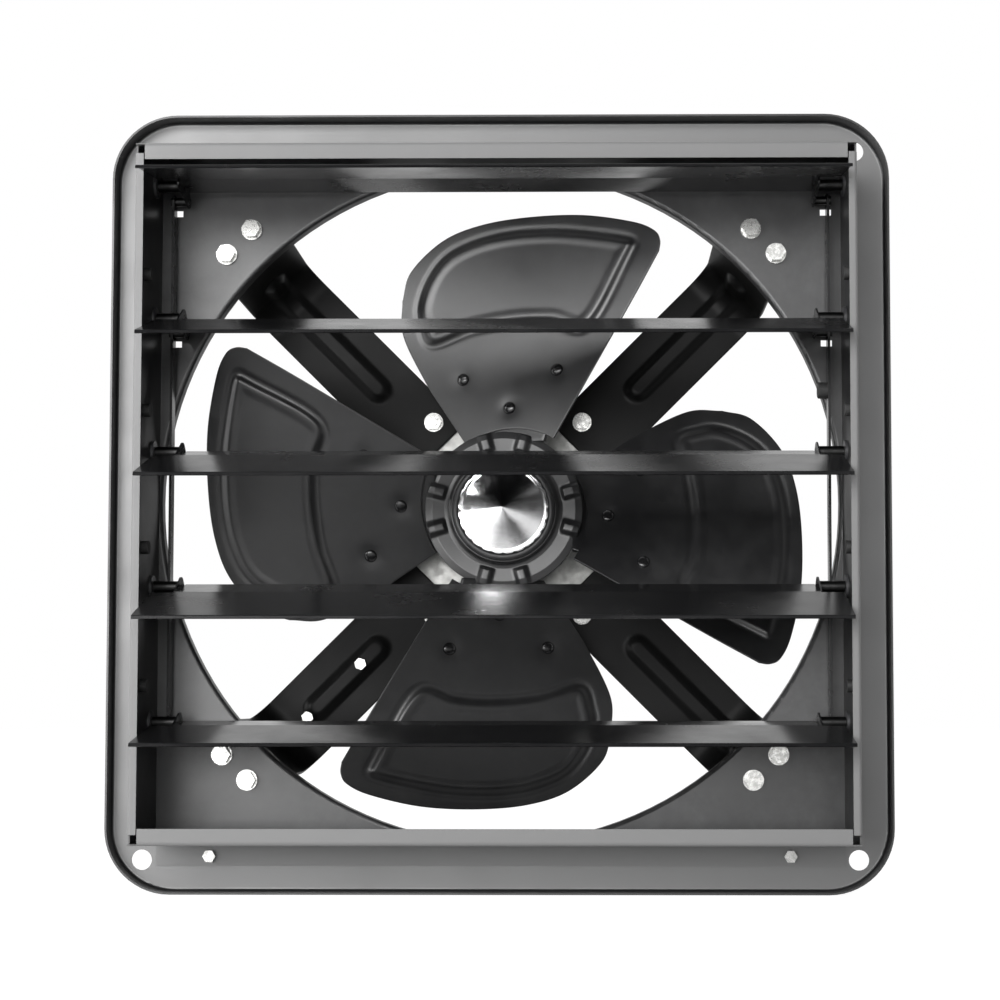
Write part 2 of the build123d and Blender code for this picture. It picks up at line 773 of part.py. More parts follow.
with BuildPart() as motor_nuts:
    with BuildSketch(front_plane(arm_depth)):
        with Locations(*stud_places):
            Circle(m6_flange_r)
            Circle(m6_r, mode=Mode.SUBTRACT)
    extrude(amount=m6_flange_t)
    with BuildSketch(front_plane(arm_depth - m6_flange_t)):
        with Locations(*stud_places):
            RegularPolygon(m6_af / 2, 6, major_radius=False)
            Circle(m6_r, mode=Mode.SUBTRACT)
    extrude(amount=m6_head_h)
finish(motor_nuts, "motor_nuts")

with BuildPart() as motor_housing:
    with BuildSketch(front_plane(shield_front + shield_t)):
        Circle(motor_r)
        with PolarLocations(motor_r, fin_count):
            Rectangle(2 * fin_rise, fin_t)
        Circle(motor_r - motor_wall, mode=Mode.SUBTRACT)
    extrude(amount=-motor_len)
finish(motor_housing, "motor_housing")

with BuildPart() as motor_shield_rear:
    with BuildSketch(front_plane(housing_back)):
        Circle(motor_r)
    extrude(amount=-shield_t)
    with BuildSketch(front_plane(rear_face)):
        Circle(shield_boss_r)
    extrude(amount=-shield_boss_rise / 2)
    with BuildSketch(front_plane(housing_back)):
        Circle(bearing_r)
    extrude(amount=-(rear_seat_depth + bearing_w), mode=Mode.SUBTRACT)
    chamfer(motor_shield_rear.edges().filter_by(GeomType.CIRCLE).group_by(Axis.Y)[-1], shield_edge)
finish(motor_shield_rear, "motor_shield_rear")

with BuildPart() as shield_bolts:
    with BuildSketch(front_plane(rear_face)):
        with PolarLocations(motor_r - m6_af / 2, shield_bolt_count, start_angle=arm_angles[0]):
            RegularPolygon(m4_af / 2, 6, major_radius=False)
    extrude(amount=-m4_head_h)
finish(shield_bolts, "shield_bolts")

for seat, name in ((bearing_seat, "bearing_front"), (rear_seat, "bearing_rear")):
    with BuildPart() as bearing:
        with BuildSketch(front_plane(seat)):
            Circle(bearing_r)
            Circle(shaft_r + bearing_run, mode=Mode.SUBTRACT)
        extrude(amount=-bearing_w)
    finish(bearing, name)

with BuildPart() as motor_stator:
    with BuildSketch(front_plane(core_front)):
        Circle(motor_r - motor_wall)
        Circle(rotor_r + rotor_gap, mode=Mode.SUBTRACT)
    extrude(amount=-core_len)
finish(motor_stator, "motor_stator")

with BuildPart() as motor_windings:
    for start, way in ((core_front, 1), (core_front + core_len, -1)):
        with BuildSketch(front_plane(start)):
            Circle(winding_out)
            Circle(winding_in, mode=Mode.SUBTRACT)
        extrude(amount=way * winding_rise)
    for outer_end in (0, -1):
        chamfer(motor_windings.edges().filter_by(GeomType.CIRCLE).group_by(Axis.Y)[outer_end], winding_edge)
finish(motor_windings, "motor_windings")

with BuildPart() as motor_rotor:
    with BuildSketch(front_plane(core_front)):
        Circle(rotor_r)
        Circle(shaft_r, mode=Mode.SUBTRACT)
    extrude(amount=-core_len)
finish(motor_rotor, "motor_rotor")

def make_arm(angle):
    """A support arm: a foot behind the panel, a leg that clears the blades, and a ribbed strap to the motor."""
    with BuildPart() as arm:
        with BuildSketch(Plane.XY.offset(-arm_w / 2)):
            with BuildLine():
                FilletPolyline(
                    (arm_foot_r, panel_sheet),
                    (arm_leg_r, panel_sheet),
                    (arm_leg_r, arm_depth),
                    (arm_inner_r, arm_depth),
                    radius=[arm_foot_bend, arm_back_bend],
                )
                offset(amount=arm_t, side=Side.RIGHT)
            make_face()
        extrude(amount=arm_w)
        rib_mid = (arm_rib_in + arm_rib_out) / 2
        rib_l = arm_rib_out - arm_rib_in - arm_rib_w
        with BuildSketch(front_plane(arm_depth)):
            with Locations((rib_mid, 0)):
                SlotCenterToCenter(rib_l, arm_rib_w)
        extrude(amount=arm_rib_rise, taper=rib_draft_angle)
        with BuildSketch(front_plane(arm_depth + arm_t)):
            with Locations((rib_mid, 0)):
                SlotCenterToCenter(rib_l, arm_rib_w - 2 * arm_t)
        extrude(amount=arm_rib_rise, taper=rib_draft_angle, mode=Mode.SUBTRACT)
        with BuildSketch(front_plane(arm_depth)):
            with Locations((motor_hole_along, arm_side(angle) * motor_hole_aside)):
                Circle(m6_r)
        extrude(amount=-arm_t, mode=Mode.SUBTRACT)
        with BuildSketch(front_plane(panel_sheet)):
            with Locations(*bolt_places(0)):
                Circle(m6_r + hole_play)
        extrude(amount=-arm_t, mode=Mode.SUBTRACT)
        if angle == clamp_angle:
            with BuildSketch(front_plane(arm_depth - arm_rib_rise)):
                with Locations((clamp_inner_hole_r, 0), (clamp_outer_hole_r, 0)):
                    Circle(m4_r + hole_play)
            extrude(amount=-(arm_t + arm_rib_rise), mode=Mode.SUBTRACT)
    return arm.part.rotate(Axis.Y, -angle)


arm_names = ("arm_top_right", "arm_top_left", "arm_bottom_left", "arm_bottom_right")
for angle, name in zip(arm_angles, arm_names):
    with BuildPart() as support_arm:
        add(make_arm(angle))
    finish(support_arm, name)

with BuildPart() as arm_bolts:
    for angle in arm_angles:
        places = bolt_places(angle)
        with BuildSketch(front_plane(0)):
            with Locations(*places):
                Circle(m6_flange_r)
        extrude(amount=m6_flange_t)
        with BuildSketch(front_plane(-m6_flange_t)):
            with Locations(*places):
                RegularPolygon(m6_af / 2, 6, major_radius=False)
        extrude(amount=m6_head_h)
        with BuildSketch(front_plane(0)):
            with Locations(*places):
                Circle(m6_r)
        extrude(amount=-(panel_sheet + arm_t + m6_head_h + m6_tail))
finish(arm_bolts, "arm_bolts")

with BuildPart() as arm_nuts:
    for angle in arm_angles:
        with BuildSketch(front_plane(panel_sheet + arm_t)):
            with Locations(*bolt_places(angle)):
                RegularPolygon(m6_af / 2, 6, major_radius=False)
                Circle(m6_r, mode=Mode.SUBTRACT)
        extrude(amount=-m6_head_h)
finish(arm_nuts, "arm_nuts")

# Run capacitor behind the lower left arm, held by a strap with two screws
cap_mid_r = (clamp_inner_hole_r + clamp_outer_hole_r) / 2
strap_y = arm_depth + arm_t
with BuildPart() as capacitor_body:
    with BuildSketch(front_plane(strap_y)):
        with Locations((cap_mid_r, 0)):
            RectangleRounded(cap_body_l, cap_body_w, cap_corner)
    extrude(amount=-cap_body_h)
    fillet(capacitor_body.faces().sort_by(Axis.Y)[-1].edges(), cap_corner / 2)
with BuildPart() as capacitor:
    add(capacitor_body.part.rotate(Axis.Y, -clamp_angle))
finish(capacitor, "capacitor")

with BuildPart() as clamp_body:
    with BuildSketch(Plane.XY.offset(-clamp_w / 2)):
        with BuildLine():
            FilletPolyline(
                (cap_mid_r + cap_body_l / 2 + clamp_ear, strap_y),
                (cap_mid_r + cap_body_l / 2, strap_y),
                (cap_mid_r + cap_body_l / 2, strap_y + cap_body_h),
                (cap_mid_r - cap_body_l / 2, strap_y + cap_body_h),
                (cap_mid_r - cap_body_l / 2, strap_y),
                (cap_mid_r - cap_body_l / 2 - clamp_ear, strap_y),
                radius=cap_corner / 2,
            )
            offset(amount=clamp_t, side=Side.RIGHT)
        make_face()
    extrude(amount=clamp_w)
    with BuildSketch(front_plane(strap_y)):
        with Locations((clamp_inner_hole_r, 0), (clamp_outer_hole_r, 0)):
            Circle(m4_r)
    extrude(amount=-2 * clamp_t, mode=Mode.SUBTRACT)
with BuildPart() as capacitor_clamp:
    add(clamp_body.part.rotate(Axis.Y, -clamp_angle))
finish(capacitor_clamp, "capacitor_clamp")

with BuildPart() as screw_pair:
    for place in (clamp_inner_hole_r, clamp_outer_hole_r):
        head_y = arm_depth - arm_rib_rise if place < arm_rib_out else arm_depth
        with BuildSketch(front_plane(head_y)):
            with Locations((place, 0)):
                RegularPolygon(m4_af / 2, 6, major_radius=False)
        extrude(amount=m4_head_h)
        with BuildSketch(front_plane(head_y)):
            with Locations((place, 0)):
                Circle(m4_r)
        extrude(amount=-(strap_y + clamp_t + m4_head_h - head_y))
with BuildPart() as clamp_screws:
    add(screw_pair.part.rotate(Axis.Y, -clamp_angle))
finish(clamp_screws, "clamp_screws")

# Terminal box under the motor, with a lid below and a cable gland at the back
term_mid_y = shield_front + shield_t + motor_len / 2
term_top = -motor_r
term_floor = term_top - fin_rise - term_h
with BuildPart() as terminal_box:
    with BuildSketch(Plane.XY.offset(term_floor)):
        with Locations((0, term_mid_y)):
            RectangleRounded(term_w, term_l, term_corner)
    extrude(amount=term_h + 2 * fin_rise)
    with BuildSketch(Plane.XY.offset(term_floor)):
        with Locations((0, term_mid_y)):
            RectangleRounded(term_w - 2 * term_wall, term_l - 2 * term_wall, term_corner - term_wall)
    extrude(amount=term_h - term_wall, mode=Mode.SUBTRACT)
    with BuildSketch(front_plane(term_mid_y + term_l / 2)):
        with Locations((0, term_floor + term_h / 2)):
            Circle(gland_r - term_wall)
    extrude(amount=term_wall, mode=Mode.SUBTRACT)
    with BuildSketch(front_plane(shield_front)):
        Circle(hypot(motor_r + fin_rise, fin_t / 2))
    extrude(amount=-(shield_t + motor_len + overrun), mode=Mode.SUBTRACT)
finish(terminal_box, "terminal_box")

with BuildPart() as terminal_lid:
    with BuildSketch(Plane.XY.offset(term_floor)):
        with Locations((0, term_mid_y)):
            RectangleRounded(term_w, term_l, term_corner)
    extrude(amount=-term_lid_t)
    fillet(terminal_lid.faces().sort_by(Axis.Z)[0].edges(), term_lid_t / 2)
finish(terminal_lid, "terminal_lid")

with BuildPart() as cable_gland:
    gland_y = term_mid_y + term_l / 2
    with BuildSketch(front_plane(gland_y - term_wall)):
        with Locations((0, term_floor + term_h / 2)):
            Circle(gland_r - term_wall)
    extrude(amount=-term_wall)
    with BuildSketch(front_plane(gland_y)):
        with Locations((0, term_floor + term_h / 2)):
            RegularPolygon(gland_r, 6)
    extrude(amount=-gland_l / 2)
    with BuildSketch(front_plane(gland_y + gland_l / 2)):
        with Locations((0, term_floor + term_h / 2)):
            Circle(gland_r - term_wall / 2)
    extrude(amount=-gland_l / 2, taper=gland_draft_angle)
    with BuildSketch(front_plane(gland_y - term_wall)):
        with Locations((0, term_floor + term_h / 2)):
            Circle(gland_bore_r)
    extrude(amount=-(gland_l + term_wall), mode=Mode.SUBTRACT)
finish(cable_gland, "cable_gland")

closed_reach = hypot(*lip_tip)
print("louver tip radius", round(closed_reach, 2), "pivots", pivots_z, "ear", ear_x, "bar", bar_x)
wheel_box = top_blade.part.bounding_box()
print("blade depth from", round(wheel_box.min.Y, 2), "to", round(wheel_box.max.Y, 2))
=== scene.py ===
# %% [markdown]
# A shutter exhaust fan is a pressed square panel with a round mouth, a wheel of four blades behind it and a
# box of linked louvers in front. Its working pieces come from the frame, at their real size. This lesson
# gives them their finishes and makes again, as smooth surfaces, the pieces that catch the most light.

# %% Load the frame
import json
import math

import bpy
import numpy as np
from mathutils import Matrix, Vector


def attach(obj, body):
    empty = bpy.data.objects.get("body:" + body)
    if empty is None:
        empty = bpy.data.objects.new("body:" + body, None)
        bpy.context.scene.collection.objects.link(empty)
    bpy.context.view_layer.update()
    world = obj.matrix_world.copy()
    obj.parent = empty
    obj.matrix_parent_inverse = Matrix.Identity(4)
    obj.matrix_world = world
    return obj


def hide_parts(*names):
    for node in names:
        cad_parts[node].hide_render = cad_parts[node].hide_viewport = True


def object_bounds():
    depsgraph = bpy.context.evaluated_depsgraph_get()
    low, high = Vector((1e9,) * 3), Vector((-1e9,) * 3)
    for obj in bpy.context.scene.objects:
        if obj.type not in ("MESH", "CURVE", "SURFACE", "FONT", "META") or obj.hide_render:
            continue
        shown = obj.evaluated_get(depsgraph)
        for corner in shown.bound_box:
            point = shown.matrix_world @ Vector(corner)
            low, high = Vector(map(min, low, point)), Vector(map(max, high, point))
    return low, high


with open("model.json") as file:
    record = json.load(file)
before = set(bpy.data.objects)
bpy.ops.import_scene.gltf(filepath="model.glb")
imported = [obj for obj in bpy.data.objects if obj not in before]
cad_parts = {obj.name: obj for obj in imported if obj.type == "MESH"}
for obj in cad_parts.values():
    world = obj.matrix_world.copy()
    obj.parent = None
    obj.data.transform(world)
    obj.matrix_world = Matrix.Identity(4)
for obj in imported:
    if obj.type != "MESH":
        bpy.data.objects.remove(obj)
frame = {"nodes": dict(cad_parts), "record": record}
cad_low, cad_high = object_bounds()
nodes = frame["nodes"]
scene = bpy.context.scene

# %% [markdown]
# The photograph was taken from a little below and to the right of the middle, about 1.1 m away, with the
# picture plane nearly square to the panel. A camera could be aimed at the middle and turned, but then the
# panel's edges would lean together. Most of the offset is therefore lens shift, and a small turn does the
# rest. The turn is worked out from the point where lines square to the panel meet in the picture.

# %% Camera
MM = 0.001
image_px = 1000
focal_px = 1785.0
sensor_mm = 36.0
camera_place = Vector((56.0, -1100.0, -122.0)) * MM
vanishing_px = (591.0, 700.0)
middle_px = (500.0, 500.0)
shift_px = (-75.0, 110.0)

camera_data = bpy.data.cameras.new("camera")
camera = bpy.data.objects.new("camera", camera_data)
scene.collection.objects.link(camera)
camera_data.sensor_width = sensor_mm
camera_data.lens = focal_px / image_px * sensor_mm
camera_data.shift_x = shift_px[0] / image_px
camera_data.shift_y = shift_px[1] / image_px
turn_left = math.atan((vanishing_px[0] - middle_px[0] + shift_px[0]) / focal_px)
turn_up = math.atan((vanishing_px[1] - middle_px[1] - shift_px[1]) / focal_px)
camera.location = camera_place
camera.rotation_euler = (math.radians(90) + turn_up, 0, turn_left)
scene.camera = camera
print("lens", round(camera_data.lens, 1), "mm, turned", round(math.degrees(turn_left), 2),
      "left and", round(math.degrees(turn_up), 2), "up")

# %% [markdown]
# Every finish starts from a colour as the eye knows it, written as sRGB hex. The renderer works with linear
# light, so one function turns the hex value round. A second one adds a node, sets it and joins it up, which
# keeps each recipe below as short as a list of what the finish is made of.

# %% Colours and nodes


def linear(hex_colour):
    """Linear colour: each sRGB channel is c/12.92 when dark, and ((c + 0.055)/1.055)^2.4 otherwise."""
    channels = [int(hex_colour[i:i + 2], 16) / 255 for i in (1, 3, 5)]
    return tuple(c / 12.92 if c <= 0.04045 else ((c + 0.055) / 1.055) ** 2.4 for c in channels) + (1.0,)


def add_node(owner, kind, settings=(), links=()):
    """Adds a node, sets its inputs or properties by name, and joins its inputs to other nodes' sockets."""
    tree = owner.node_tree
    node = tree.nodes.new(kind)
    for key, value in dict(settings).items():
        if isinstance(key, int) or key in node.inputs:
            node.inputs[key].default_value = value
        else:
            setattr(node, key, value)
    for key, socket in dict(links).items():
        tree.links.new(socket, node.inputs[key])
    return node


def new_material(name):
    """A material with no shader yet, and the object's own coordinates to draw patterns by."""
    material = bpy.data.materials.new(name)
    material.use_nodes = True
    material.node_tree.nodes.clear()
    place = add_node(material, "ShaderNodeTexCoord").outputs["Object"]
    return material, place


print("pale grey card is", [round(c, 3) for c in linear("#d8d8d8")[:3]])

# %% [markdown]
# Nearly all of the fan is pressed steel under sprayed black enamel. Up close such paint isn't flat: it has
# a faint orange peel of a millimetre or two, broad smudges from handling, and a thin haze of dust. An image
# could hold that, but noise measured in real millimetres does it for any piece, from any side. The peel is
# a bump, the smudges change the roughness, and the haze lifts the colour a little. On the panel's flange and
# the box's lips the haze is strongest. That is partly wear where hands hold the fan, and partly a painted
# sheen that stands in for the bright reflection they show. The panel's rolled rim is kept at the bare black,
# as painted shade where it turns away from the lamps. Noise seldom leaves the span from 0.35 to 0.65, so each
# Map Range node takes that span to the range that the finish needs.

# %% Sprayed enamel on steel
box_half_w, box_half_h = 212.5 * MM, 206.5 * MM
lip_band = 4 * MM
lip_depth = -min(corner[1] for corner in nodes["frame_top"].bound_box) - lip_band
# The outer band of the rolled rim is kept at the bare black of the paint, as painted shade.
panel_corner, painted_shade_rim_w, rim_fade = 40.0 * MM, 2.2 * MM, 1.0 * MM
# Past these limits the flange and the box's lips are painted paler: partly wear, partly a painted sheen for
# their reflection.
wear_and_sheen_haze, wear_and_sheen_from, wear_and_sheen_full = 0.55, -2 * MM, 3 * MM
smudge_mm, grime_mm, wave_mm = 55.0, 9.0, 70.0
peel_mm, peel_depth_mm = 1.6, 0.012
noise_span = {"From Min": 0.35, "From Max": 0.65}
no_vector = (0.0, 0.0, 0.0)


def haze_from_wear_and_painted_sheen(material, place, amount, wear_and_sheen_beyond):
    """The greater of the haze so far and wear_and_sheen_haze, where the distance along an axis is past its
    limit. That paler band is partly wear and partly a painted sheen for the reflection of the flange and
    lips.
    """
    split = add_node(material, "ShaderNodeSeparateXYZ", links={0: place})
    for axis, limit in wear_and_sheen_beyond.items():
        away = add_node(material, "ShaderNodeMath", {"operation": "ABSOLUTE"}, {0: split.outputs[axis]})
        pale_shift = add_node(material, "ShaderNodeMapRange",
                        {"From Min": limit + wear_and_sheen_from, "From Max": limit + wear_and_sheen_full, "To Max": wear_and_sheen_haze},
                        {"Value": away.outputs[0]})
        amount = add_node(material, "ShaderNodeMath", {"operation": "MAXIMUM"},
                          {0: amount, 1: pale_shift.outputs["Result"]}).outputs[0]
    return amount


def rim_kept_as_painted_shade(material, place, amount):
    """No dust haze and no painted sheen on the rolled rim: it keeps the bare black of the paint, as painted
    shade where the roll turns away from the lamps. Its distance from a square through the corners' middles is
    the same all round, so the length of the part of the place that lies outside that square tells where the
    rim is. The
    1 m taken from the depth keeps it out of that length."""
    inner = cad_high.z - panel_corner
    steps = (("ABSOLUTE", no_vector), ("SUBTRACT", (inner, 1.0, inner)), ("MAXIMUM", no_vector))
    aside = place
    for operation, other in steps:
        aside = add_node(material, "ShaderNodeVectorMath", {"operation": operation, 1: other},
                         {0: aside}).outputs[0]
    reach = add_node(material, "ShaderNodeVectorMath", {"operation": "LENGTH"}, {0: aside})
    rim_start = panel_corner - painted_shade_rim_w
    off_painted_rim = add_node(material, "ShaderNodeMapRange",
                    {"From Min": rim_start - rim_fade, "From Max": rim_start, "To Min": 1.0, "To Max": 0.0},
                    {"Value": reach.outputs["Value"]})
    return add_node(material, "ShaderNodeMath", {"operation": "MINIMUM"},
                    {0: amount, 1: off_painted_rim.outputs["Result"]}).outputs[0]


def sprayed_enamel(name, paint, dust_and_sheen_colour, rough, haze_amount, warp_mm, mirror=0.5, wear_and_sheen_beyond=None,
                   with_painted_shade_rim=False):
    """Black enamel: colour from paint to dust_and_sheen_colour by smudges, roughness by smudges, and orange
    peel as bump.
    warp_mm is the height of the slow waves of thin sheet, and mirror is 0.5 for full gloss.
    wear_and_sheen_beyond gives distances from the origin along an axis, past which the paint is paler: partly
    wear from handling, and partly a painted sheen that stands in for the bright reflection on the flange and
    lips. with_painted_shade_rim keeps the panel's rolled rim at the bare black of the paint, as painted
    shade."""
    material, place = new_material(name)
    smudge = add_node(material, "ShaderNodeTexNoise",
                      {"Scale": 1 / (smudge_mm * MM), "Detail": 4.0, "Roughness": 0.62},
                      {"Vector": place}).outputs["Fac"]
    grime = add_node(material, "ShaderNodeTexNoise",
                     {"Scale": 1 / (grime_mm * MM), "Detail": 5.0, "Roughness": 0.7},
                     {"Vector": place}).outputs["Fac"]
    broad = add_node(material, "ShaderNodeMapRange", noise_span, {"Value": smudge})
    fine = add_node(material, "ShaderNodeMapRange", {**noise_span, "To Min": 0.4}, {"Value": grime})
    both = add_node(material, "ShaderNodeMath", {"operation": "MULTIPLY"},
                    {0: broad.outputs["Result"], 1: fine.outputs["Result"]})
    amount = add_node(material, "ShaderNodeMapRange", {"To Max": haze_amount},
                      {"Value": both.outputs[0]}).outputs["Result"]
    # Past the given limits the haze grows: partly wear, partly a painted sheen.
    if wear_and_sheen_beyond:
        amount = haze_from_wear_and_painted_sheen(material, place, amount, wear_and_sheen_beyond)
    # The rolled rim is kept free of haze and sheen, as painted shade.
    if with_painted_shade_rim:
        amount = rim_kept_as_painted_shade(material, place, amount)
    colour = add_node(material, "ShaderNodeMix", {"data_type": "RGBA", 6: linear(paint), 7: linear(dust_and_sheen_colour)},
                      {"Factor": amount})
    peel = add_node(material, "ShaderNodeTexNoise", {"Scale": 1 / (peel_mm * MM), "Detail": 1.0},
                    {"Vector": place})
    bump = add_node(material, "ShaderNodeBump", {"Strength": 1.0, "Distance": peel_depth_mm * MM},
                    {"Height": peel.outputs["Fac"]})
    wave = add_node(material, "ShaderNodeTexNoise", {"Scale": 1 / (wave_mm * MM), "Detail": 1.0},
                    {"Vector": place})
    bump = add_node(material, "ShaderNodeBump", {"Strength": 1.0, "Distance": warp_mm * MM},
                    {"Height": wave.outputs["Fac"], "Normal": bump.outputs[0]})
    sheen = add_node(material, "ShaderNodeMapRange", {**noise_span, "To Min": rough[0], "To Max": rough[1]},
                     {"Value": smudge})
    shader = add_node(material, "ShaderNodeBsdfPrincipled", {"IOR": 1.5, "Specular IOR Level": mirror},
                      {"Base Color": colour.outputs[2], "Roughness": sheen.outputs["Result"],
                       "Normal": bump.outputs[0]})
    add_node(material, "ShaderNodeOutputMaterial", links={"Surface": shader.outputs[0]})
    print("enamel", name, "with", len(material.node_tree.nodes), "nodes")
    return material


# The panel's flange and the strips' front lips carry a painted sheen as well as wear, and the panel's rolled
# rim is painted shade.
panel_enamel = sprayed_enamel("sprayed_enamel_on_pressed_panel", "#141415", "#707070", (0.34, 0.46), 0.14,
                              0.1, wear_and_sheen_beyond={"X": box_half_w, "Z": box_half_h}, with_painted_shade_rim=True)
strip_enamel = sprayed_enamel("sprayed_enamel_on_folded_strip", "#0e0e0f", "#808080", (0.32, 0.44), 0.12,
                              0.1, mirror=0.12, wear_and_sheen_beyond={"Y": lip_depth, "Z": box_half_h + 2 * MM})
louver_enamel = sprayed_enamel("gloss_enamel_on_thin_sheet", "#0d0d0e", "#262626", (0.19, 0.29), 0.25, 0.14,
                               mirror=0.24)
blade_enamel = sprayed_enamel("satin_enamel_on_pressed_blades", "#101011", "#363636", (0.32, 0.42), 0.25, 0.1)
arm_enamel = sprayed_enamel("dull_enamel_on_pressed_arms", "#080808", "#1c1c1c", (0.36, 0.46), 0.25, 0.1,
                            mirror=0.08)

# %% [markdown]
# The bare metals are each made another way. Bolts and nuts are zinc plated, which leaves a bright skin with
# a soft, patchy sheen. The motor's shields are die cast, with the fine grain of the mould. The cap is spun
# and chromed, and its finish follows with its shape. A photographed texture could show all this, but two
# tones and a grain in real millimetres fit a small nut and a large shield alike. A metal's brightness is its
# colour, so metallic is 1 and the base colour does the rest.

# %% Zinc, cast alloy, steel and copper


def bare_metal(name, colour, tarnish, rough, patch_mm, grain_mm, grain_depth_mm):
    """Metal whose colour and roughness change in patches, with a fine grain as bump."""
    material, place = new_material(name)
    patch = add_node(material, "ShaderNodeTexNoise",
                     {"Scale": 1 / (patch_mm * MM), "Detail": 3.0, "Roughness": 0.6},
                     {"Vector": place}).outputs["Fac"]
    dull = add_node(material, "ShaderNodeMapRange", {**noise_span, "To Max": 0.8}, {"Value": patch})
    tone = add_node(material, "ShaderNodeMix", {"data_type": "RGBA", 6: linear(colour), 7: linear(tarnish)},
                    {"Factor": dull.outputs["Result"]})
    grain = add_node(material, "ShaderNodeTexNoise", {"Scale": 1 / (grain_mm * MM), "Detail": 2.0},
                     {"Vector": place})
    bump = add_node(material, "ShaderNodeBump", {"Distance": grain_depth_mm * MM},
                    {"Height": grain.outputs["Fac"]})
    sheen = add_node(material, "ShaderNodeMapRange", {**noise_span, "To Min": rough[0], "To Max": rough[1]},
                     {"Value": patch})
    shader = add_node(material, "ShaderNodeBsdfPrincipled", {"Metallic": 1.0},
                      {"Base Color": tone.outputs[2], "Roughness": sheen.outputs["Result"],
                       "Normal": bump.outputs[0]})
    add_node(material, "ShaderNodeOutputMaterial", links={"Surface": shader.outputs[0]})
    print("metal", name, "with", len(material.node_tree.nodes), "nodes")
    return material


zinc_plate = bare_metal("bright_zinc_plate", "#a6a6a4", "#7e7e7c", (0.22, 0.34), 2.5, 1.5, 0.0012)
die_cast = bare_metal("die_cast_alloy", "#868684", "#787876", (0.4, 0.52), 5.0, 0.9, 0.03)
ground_steel = bare_metal("ground_steel", "#b9b9b6", "#8e8e8a", (0.25, 0.4), 8.0, 0.5, 0.01)
dark_steel = bare_metal("dark_turned_steel", "#343434", "#202020", (0.3, 0.45), 4.0, 0.5, 0.01)
copper_wire = bare_metal("enamelled_copper_wire", "#b8743c", "#7a4520", (0.3, 0.45), 5.0, 1.0, 0.08)

# %% [markdown]
# The plain plastics and rubbers are moulded, and the mould's fine texture makes them satin. They differ only
# in colour, grain and softness of sheen, so one recipe serves for all of them.

# %% Moulded plastic and rubber
tone_mm = 12.0


def moulded(name, colour, pale_shift, rough, grain_mm=0.7, grain_depth_mm=0.02):
    """Moulded plastic or rubber: a slow change of tone, with the grain of the mould as bump."""
    material, place = new_material(name)
    tone = add_node(material, "ShaderNodeTexNoise", {"Scale": 1 / (tone_mm * MM), "Detail": 3.0},
                    {"Vector": place}).outputs["Fac"]
    grain = add_node(material, "ShaderNodeTexNoise", {"Scale": 1 / (grain_mm * MM), "Detail": 1.0},
                     {"Vector": place})
    bump = add_node(material, "ShaderNodeBump", {"Distance": grain_depth_mm * MM},
                    {"Height": grain.outputs["Fac"]})
    pale = add_node(material, "ShaderNodeMapRange", {**noise_span, "To Max": 0.6}, {"Value": tone})
    mixed = add_node(material, "ShaderNodeMix", {"data_type": "RGBA", 6: linear(colour), 7: linear(pale_shift)},
                     {"Factor": pale.outputs["Result"]})
    sheen = add_node(material, "ShaderNodeMapRange", {**noise_span, "To Min": rough[0], "To Max": rough[1]},
                     {"Value": tone})
    shader = add_node(material, "ShaderNodeBsdfPrincipled", {"IOR": 1.46},
                      {"Base Color": mixed.outputs[2], "Roughness": sheen.outputs["Result"],
                       "Normal": bump.outputs[0]})
    add_node(material, "ShaderNodeOutputMaterial", links={"Surface": shader.outputs[0]})
    print("moulding", name, "with", len(material.node_tree.nodes), "nodes")
    return material


black_moulding = moulded("moulded_black_nylon", "#1b1b1c", "#2c2c2d", (0.4, 0.55))
nylon = moulded("turned_dark_nylon", "#202021", "#38383a", (0.32, 0.45))
rubber = moulded("moulded_rubber", "#141414", "#262626", (0.6, 0.75), 0.9, 0.03)

# %% [markdown]
# Bolts, nuts, strips and louvers are used as they come from the frame, because their shapes are exact. Each
# node there has a slot with a name, so a table from slot to finish dresses all of them in one loop.

# %% Finishes on the frame's own nodes
finish_of_slot = {
    "panel_paint": panel_enamel, "box_paint": strip_enamel, "louver_paint": louver_enamel,
    "arm_paint": arm_enamel, "blade_paint": blade_enamel, "hub_paint": blade_enamel, "zinc": zinc_plate,
    "steel": ground_steel, "copper": copper_wire, "cast_alloy": die_cast, "chrome": ground_steel,
    "black_plastic": black_moulding, "nylon": nylon, "rubber": rubber, "pin_steel": dark_steel,
}
for part in frame["record"]["subparts"]:
    for slot in nodes[part["node"]].material_slots:
        slot.material = finish_of_slot[part["material_slot"]]

# %% [markdown]
# New pieces are surfaces: a grid of points from two parameters, worked out as whole arrays. Ready cylinders
# and planes could be bent instead, but a grid puts the points where the shape needs them. One function turns
# such a grid into a mesh, and joins its last column to the first where the shape goes round.

# %% From grid to mesh


def grid_faces(rows, columns, around):
    """Quads between neighbours on a grid. around joins the last column to the first."""
    index = np.arange(rows * columns).reshape(rows, columns)
    if around:
        index = np.hstack([index, index[:, :1]])
    return np.stack([index[:-1, :-1], index[:-1, 1:], index[1:, 1:], index[1:, :-1]], -1).reshape(-1, 4)


def new_piece(name, patches, material, body, replaced=()):
    """A mesh object from (points, around) grids. Points are in metres, as an array of rows x columns x 3."""
    points, faces, start = [], [], 0
    for grid, around in patches:
        rows, columns = grid.shape[:2]
        points.append(grid.reshape(-1, 3))
        faces.append(grid_faces(rows, columns, around) + start)
        start += rows * columns
    mesh = bpy.data.meshes.new(name)
    mesh.from_pydata(np.concatenate(points).tolist(), [], np.concatenate(faces).tolist())
    mesh.validate()
    mesh.polygons.foreach_set("use_smooth", np.full(len(mesh.polygons), True))
    piece = bpy.data.objects.new(name, mesh)
    scene.collection.objects.link(piece)
    mesh.materials.append(material)
    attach(piece, body)
    if replaced:
        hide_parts(*replaced)
    return piece


